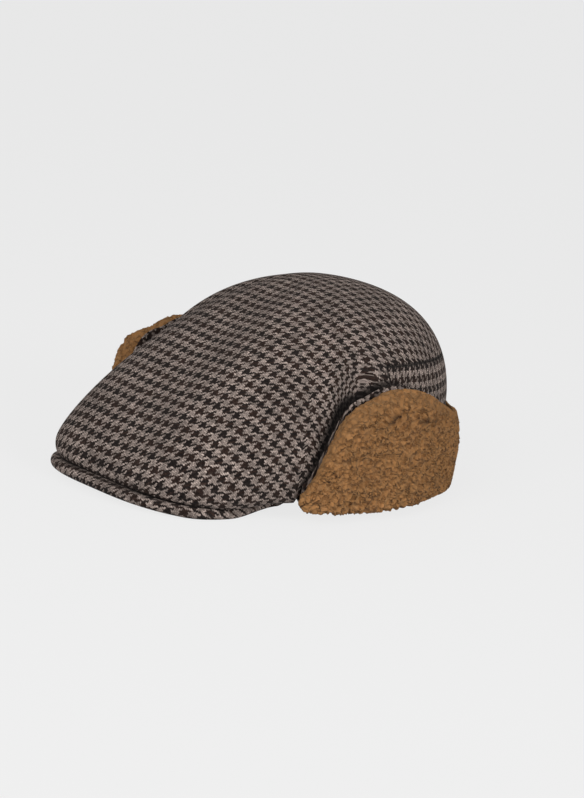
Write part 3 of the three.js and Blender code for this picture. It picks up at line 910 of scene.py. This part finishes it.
def build_peak(material):
    """A stiff board wrapped in wool, which runs on round the lip and under it."""
    angles = np.linspace(-PEAK_END_ANGLE, PEAK_END_ANGLE, PEAK_STATIONS)
    root = head_radius(angles) + FLAP_FLEECE_INSIDE
    taper = smoothstep(np.abs(angles), PEAK_END_ANGLE - PEAK_TAPER_ANGLE, PEAK_END_ANGLE)
    lip = lip_radius(angles) - PEAK_TAPER_DEPTH * taper
    half = peak_half_thickness(polar(angles, lip, 0)[:, 1]) * (1 - PEAK_TAPER_THINNING * taper)
    # Rows of radius, side (1 on top, -1 below) and distance over the cloth
    top = [(lerp(root, lip, share), 1.0, lerp(root, lip, share)) for share in np.linspace(0, 1, PEAK_ROWS)]
    turns = np.linspace(0, math.pi, LIP_STEPS + 1)[1:-1]
    edge = [(lip + half * math.sin(turn), math.cos(turn), lip + half * turn) for turn in turns]
    wrapped = lip + half * math.pi
    under = [(radius, -1.0, wrapped + lip - radius) for radius, _, _ in reversed(top)]
    rows, lays = [], []
    for radius, side, cut in [*top, *edge, *under]:
        place = polar(angles, radius, 0)
        x, y = place[:, 0], place[:, 1]
        full = peak_half_thickness(y)
        thinned = lerp(side, lerp(1, side, 1 - PEAK_TAPER_THINNING), taper)
        place[:, 2] = peak_underside(x, y) + full * (1 + thinned)
        rows.append(place)
        lays.append(polar(angles, cut, 0))
    grid = np.array(rows).swapaxes(0, 1)
    count = grid.shape[1]
    lay = np.array(lays).swapaxes(0, 1).reshape(-1, 3)
    past_crown = np.hypot(grid[..., 0], grid[..., 1]) - rim_radius(angles)[:, None]
    on_top = np.arange(count) < PEAK_ROWS + LIP_STEPS // 3
    shadow = np.where(on_top, 1 - smoothstep(past_crown, *LIP_SHADOW), 0)
    values = {"lay": lay, "shadow": SHADOW_DEPTH * shadow.ravel()}
    return make_piece("peak_cloth", grid.reshape(-1, 3), band_faces(PEAK_STATIONS, count), material, values)


# The folded band

# The rings of the solid's crown, which the band lies against
CAD_RINGS = (12, 4, 2)
ROUND_CORNER = math.sqrt(0.5)
# Corners of the free edge: out from the face and down from the top, as shares of its thickness
EDGE_ROUNDING = ((0.3, 0), (0.75, 0.12))


def flap_top(angle):
    return RIM_Z + FLAP_EAR_HEIGHT * from_table(FLAP_SECTIONS, "height", angle)


def reach_below(meridian, z):
    """How far out a meridian reaches anywhere between the rim and a height."""
    reach = meridian[-1, 0]
    for low, high in zip(meridian[:0:-1], meridian[-2::-1]):
        if low[1] >= z:
            break
        reach = max(reach, lerp(low[0], high[0], min(1, (z - low[1]) / (high[1] - low[1]))))
    return reach


def crown_face(angle):
    """The face that both layers lie against, from the rim up to near the free edge."""
    meridian = crown_meridians(np.array([angle]), *CAD_RINGS)[0]
    lean = FLAP_LEAN * float(from_table(FLAP_SECTIONS, "lean", angle))
    heights = np.linspace(RIM_Z, float(flap_top(angle)) - FLAP_EDGE_DEPTH, FLAP_ROWS + 1)
    face = []
    for row, z in enumerate(heights):
        ahead = heights[min(row + 1, FLAP_ROWS)] + FLAP_STANDOFF_HEIGHT
        face.append((reach_below(meridian, ahead) + FLAP_EASE + lean * (row / FLAP_ROWS) ** 2, z))
    return np.array(face)


def folded_outline(angle, face, offset, inside_thick, fold_thick, fold_side, edge_thick, top):
    """A section of one layer of the folded band: up inside the rim, under it, and up the crown."""
    inside = float(rim_radius(angle)) - CROWN_CLOTH - SEAM_GAP - offset
    innermost = inside - inside_thick
    inside_top = RIM_Z + FLAP_INNER_LEG
    fold_top = RIM_Z - SEAM_GAP - offset
    fold_bottom = fold_top - fold_thick
    rounding = fold_thick / 2
    face = face + (offset, 0)
    edge = face[-1, 0]
    thick = np.linspace(fold_side, edge_thick, FLAP_ROWS + 1)
    outside = np.stack([face[:, 0] + thick, face[:, 1]], -1)
    low = outside[0, 0] - rounding
    return np.array([
        [inside - inside_thick / 2, fold_bottom],
        [innermost, fold_bottom + rounding],
        [innermost, inside_top - inside_thick / 2],
        [inside - inside_thick / 2, inside_top],
        [inside, inside_top - inside_thick / 3],
        [inside, fold_top],
        [face[0, 0], fold_top],
        *face,
        *[(edge + edge_thick * out, top - edge_thick * down) for out, down in EDGE_ROUNDING],
        *outside[::-1],
        [low + rounding, fold_bottom + rounding],
        [low + rounding * ROUND_CORNER, fold_bottom + rounding * (1 - ROUND_CORNER)],
        [low, fold_bottom],
    ])


def backing_outline(angle):
    thick = FLAP_BACKING
    return folded_outline(angle, crown_face(angle), 0, thick, thick, thick, thick, float(flap_top(angle)))


def fleece_outline(angle):
    columns = ("foot", "fold", "edge", "reveal")
    foot, fold, edge, reveal = (float(from_table(FLAP_SECTIONS, key, angle)) for key in columns)
    return folded_outline(
        angle, crown_face(angle), FLAP_FACE_OFFSET, FLAP_FLEECE_INSIDE,
        FLAP_FLEECE * (1 - max(0, foot)), FLAP_FLEECE * fold, FLAP_FLEECE * edge,
        float(flap_top(angle)) - FLAP_EDGE_REVEAL * reveal,
    )


def rounded_sections(outlines, steps):
    """Each section as a smooth closed line, with so many points between its corners."""
    before, after = np.roll(outlines, 1, axis=1), np.roll(outlines, -1, axis=1)
    parts, spans = [], []
    for corner, count in enumerate(steps):
        for share in np.arange(count) / count:
            parts.append(
                0.5 * (1 - share) ** 2 * before[:, corner]
                + (0.5 + share * (1 - share)) * outlines[:, corner]
                + 0.5 * share**2 * after[:, corner]
            )
            spans.append(corner)
    return np.stack(parts, axis=1), np.array(spans)


# Corners of a layer's section, in the order of folded_outline
INSIDE_CORNER = 4
FACE_CORNER = 7
EDGE_CORNER = FACE_CORNER + FLAP_ROWS + 1
OUTSIDE_CORNER = EDGE_CORNER + len(EDGE_ROUNDING)
FOLD_CORNER = OUTSIDE_CORNER + FLAP_ROWS + 1
SECTION_CORNERS = FOLD_CORNER + 3
BACKING_STATIONS = 300
BACKING_STEPS = [2] * SECTION_CORNERS


def build_backing(material):
    """The cloth back of the flaps, folded under the rim."""
    angles = np.linspace(FLAP_START_ANGLE, 360 - FLAP_START_ANGLE, BACKING_STATIONS)
    outlines = np.array([backing_outline(angle) for angle in angles])
    sections, _ = rounded_sections(outlines, BACKING_STEPS)
    grid = polar(angles[:, None], sections[..., 0], sections[..., 1])
    across = running_length(grid, axis=1)
    along = running_length(grid.mean(axis=1), axis=0)
    lay = np.stack([np.broadcast_to(along[:, None], across.shape), across, np.zeros(across.shape)], -1)
    values = {"lay": lay.reshape(-1, 3), "shadow": np.zeros(across.size)}
    faces = band_faces(BACKING_STATIONS, grid.shape[1])
    return make_piece("flap_backing_cloth", grid.reshape(-1, 3), faces, material, values)


FLEECE_STATIONS = 700
# Points between the corners of the fleece's section: few where it lies against the cloth
FLEECE_STEPS = [3, 3, 3, 3, 1, 1, 1] + [1] * 7 + [8, 9] + [9, 12, 12, 12, 12, 12, 9] + [6, 6, 6]
FLEECE_ROUND_END = 5
FLOOR_CLEARANCE = 0.15

# Curls: their size, how far they wander from even rows, and how high they stand
FLEECE_TUFT = 5.2
SMALL_TUFT = 0.55 * FLEECE_TUFT
SMALL_TUFT_SHIFT = 7
CURL_RADIUS = 0.86
CURL_PARTING = (-0.02, 0.3)
WANDER_SIZE = 6.0
WANDER_REACH = 2.6
HEAVE_SIZE = 16.0
HEAVE_HEIGHT = 0.9
CURL_HEIGHT = 2.3
CURL_ROOT = 1.6
DETAIL_HEIGHT = 0.7
DETAIL_ROOT = 0.6
EDGE_CALM = 0.45
THIN_PILE = 0.6

# Small dents in the pile near the top of the flap: plan angle, height, half length, half width, tilt
FLEECE_DENTS = (
    (85, 65, 7.0, 2.2, 0.6),
    (101, 61.5, 5.0, 1.9, -0.2),
    (109, 59, 3.0, 1.8, 0.4),
)
DENT_DEPTH = 2.2
MM_PER_DEGREE = 1.9


def rounded_ends(angles, sections):
    """The sections drawn in towards their middle at both ends of the band."""
    middle = sections.mean(axis=1, keepdims=True)
    arc = running_length(polar(angles, middle[:, 0, 0], 0), axis=0)
    from_end = np.minimum(arc, arc[-1] - arc)
    keep = np.sqrt(np.clip(1 - (1 - np.clip(from_end / FLEECE_ROUND_END, 0.02, 1)) ** 2, 0, 1))
    return middle + (sections - middle) * keep[:, None, None]


def round_tops(distance):
    """The height of round curls, by the distance from their centres."""
    return np.sqrt(np.clip(1 - (distance / CURL_RADIUS) ** 2, 0, 1))


def fleece_dents(points, plan):
    """1 in the middle of a dent, 0 away from it."""
    dents = np.zeros(len(points))
    for angle, height, half_length, half_width, tilt in FLEECE_DENTS:
        side = (plan - angle) * MM_PER_DEGREE
        rise = points[:, 2] - height
        along = side * math.cos(tilt) + rise * math.sin(tilt)
        across = rise * math.cos(tilt) - side * math.sin(tilt)
        dents = np.maximum(dents, np.exp(-(along / half_length) ** 2 - (across / half_width) ** 2))
    return dents


def build_fleece(material):
    """The pile side of the flaps: small curls crowded over a soft thick band."""
    angles = np.linspace(FLAP_START_ANGLE, 360 - FLAP_START_ANGLE, FLEECE_STATIONS)
    outlines = np.array([fleece_outline(angle) for angle in angles])
    sections, spans = rounded_sections(outlines, FLEECE_STEPS)
    sections = rounded_ends(angles, sections)
    grid = polar(angles[:, None], sections[..., 0], sections[..., 1])
    normals = -grid_normals(grid.swapaxes(0, 1), closed=False).swapaxes(0, 1).reshape(-1, 3)
    place = grid.reshape(-1, 3)
    span = np.tile(spans, FLEECE_STATIONS)
    # Pile stands on every face but the one that lies against the cloth
    pile = np.where((span >= INSIDE_CORNER) & (span < EDGE_CORNER), 0.0, 1.0)
    pile = np.where((span == INSIDE_CORNER - 1) | (span == EDGE_CORNER), THIN_PILE, pile)
    inside = np.where(span < INSIDE_CORNER, THIN_PILE, 1.0)
    bent = place + WANDER_REACH * np.stack([drift(place, WANDER_SIZE, k) for k in range(3)], -1)
    first, second = cells(bent, FLEECE_TUFT)
    small, _ = cells(bent + SMALL_TUFT_SHIFT, SMALL_TUFT)
    curl = round_tops(first) * smoothstep(second - first, *CURL_PARTING)
    detail = round_tops(small)
    top_edge = ((span >= EDGE_CORNER) & (span <= OUTSIDE_CORNER)).astype(float)
    dents = pile * fleece_dents(place, left_angle(np.repeat(angles, grid.shape[1])))
    lift = (CURL_HEIGHT * curl - CURL_ROOT) * (1 - EDGE_CALM * top_edge)
    lift += DETAIL_HEIGHT * (detail - DETAIL_ROOT) + HEAVE_HEIGHT * drift(place, HEAVE_SIZE, 1)
    lift -= DENT_DEPTH * dents
    points = place + normals * (lift * pile * inside)[:, None]
    points[:, 2] = np.maximum(points[:, 2], FLOOR_CLEARANCE)
    return make_piece(
        "flap_fleece_pile", points, band_faces(FLEECE_STATIONS, grid.shape[1]), material,
        {"pile_place": place, "curl": 0.75 * curl + 0.25 * detail, "edge_roll": top_edge, "dent_shade": dents},
    )


# Pieces on the frame

crown = build_crown(crown_wool())
peak = build_peak(plain_wool("checked_wool_peak"))
backing = build_backing(plain_wool("checked_wool_flaps"))
fleece = build_fleece(fleece_pile())

for piece, node, finish in (
    (crown, "crown", "checked_wool"),
    (peak, "peak", "checked_wool"),
    (backing, "flap_backing", "checked_wool"),
    (fleece, "flap_fleece", "fleece"),
):
    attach(piece, "root")
    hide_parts(node)

# Floor, light and camera

BACKDROP = (0.838, 0.838, 0.838, 1)
FLOOR_HALF = 200.0
FLOOR_GREY = (0.08, 0.08, 0.08, 1)
FLOOR_GLOW = 0.93
ROOM_LIGHT = 0.38
LIGHT_AIM = HEAD_CENTRE + Vector((0, 0, 0.05))


def make_floor():
    """A wide pale floor that takes a faint shadow."""
    mesh = bpy.data.meshes.new("floor")
    corners = [(x * FLOOR_HALF, y * FLOOR_HALF, 0) for x, y in ((-1, -1), (1, -1), (1, 1), (-1, 1))]
    mesh.from_pydata(corners, [], [(0, 1, 2, 3)])
    material, _, shader = new_material("pale_floor")
    set_inputs(
        shader, Base_Color=FLOOR_GREY, Roughness=1.0, Specular_IOR_Level=0.0,
        Emission_Color=BACKDROP, Emission_Strength=FLOOR_GLOW,
    )
    mesh.materials.append(material)
    floor = bpy.data.objects.new("floor", mesh)
    # The cap is lit by the lamps and the room, as a cut-out picture shows it, and not by the floor
    floor.visible_diffuse = False
    bpy.context.collection.objects.link(floor)


def make_light(name, place, size, power):
    light = bpy.data.lights.new(name, "AREA")
    light.shape = "DISK"
    light.size = size
    light.energy = power
    lamp = bpy.data.objects.new(name, light)
    lamp.location = place
    lamp.rotation_euler = (LIGHT_AIM - lamp.location).to_track_quat("-Z", "Y").to_euler()
    bpy.context.collection.objects.link(lamp)


def make_world():
    world = bpy.data.worlds.new("studio")
    world.use_nodes = True
    background = world.node_tree.nodes["Background"].inputs
    set_inputs(background, Color=BACKDROP, Strength=ROOM_LIGHT)
    bpy.context.scene.world = world


CAMERA_DISTANCE = 1.3
CAMERA_AZIMUTH = 43.470
CAMERA_ELEVATION = 14.444
CAMERA_ROLL = 8.258
PIXELS_PER_MM = 1.55464
PHOTO_WIDTH = 584
PHOTO_HEIGHT = 798
HEAD_PIXEL = (268.41, 472.91)
FILM = 36


def make_camera():
    """The photograph's point of view, turned a little so that the cap leans as it does there."""
    turn, rise, roll = (math.radians(a) for a in (CAMERA_AZIMUTH, CAMERA_ELEVATION, CAMERA_ROLL))
    back = Vector((math.sin(turn) * math.cos(rise), -math.cos(turn) * math.cos(rise), math.sin(rise)))
    level = Vector((math.cos(turn), math.sin(turn), 0))
    upright = back.cross(level)
    right = level * math.cos(roll) + upright * math.sin(roll)
    up = upright * math.cos(roll) - level * math.sin(roll)
    camera = bpy.data.cameras.new("camera")
    camera.sensor_width = FILM
    camera.lens = FILM * PIXELS_PER_MM * CAMERA_DISTANCE / MM / PHOTO_HEIGHT
    camera.shift_x = (PHOTO_WIDTH / 2 - HEAD_PIXEL[0]) / PHOTO_HEIGHT
    camera.shift_y = (HEAD_PIXEL[1] - PHOTO_HEIGHT / 2) / PHOTO_HEIGHT
    camera.clip_end = 500
    view = bpy.data.objects.new("camera", camera)
    view.matrix_world = (
        Matrix.Translation(HEAD_CENTRE + back * CAMERA_DISTANCE)
        @ Matrix((right, up, back)).transposed().to_4x4()
    )
    bpy.context.collection.objects.link(view)
    bpy.context.scene.camera = view


bpy.context.scene.view_settings.view_transform = "Standard"
make_floor()
make_world()
make_light("key", (0.55, -1.55, 0.85), 1.0, 20)
make_light("fill", (1.7, 0.1, 0.7), 1.0, 18)
make_camera()
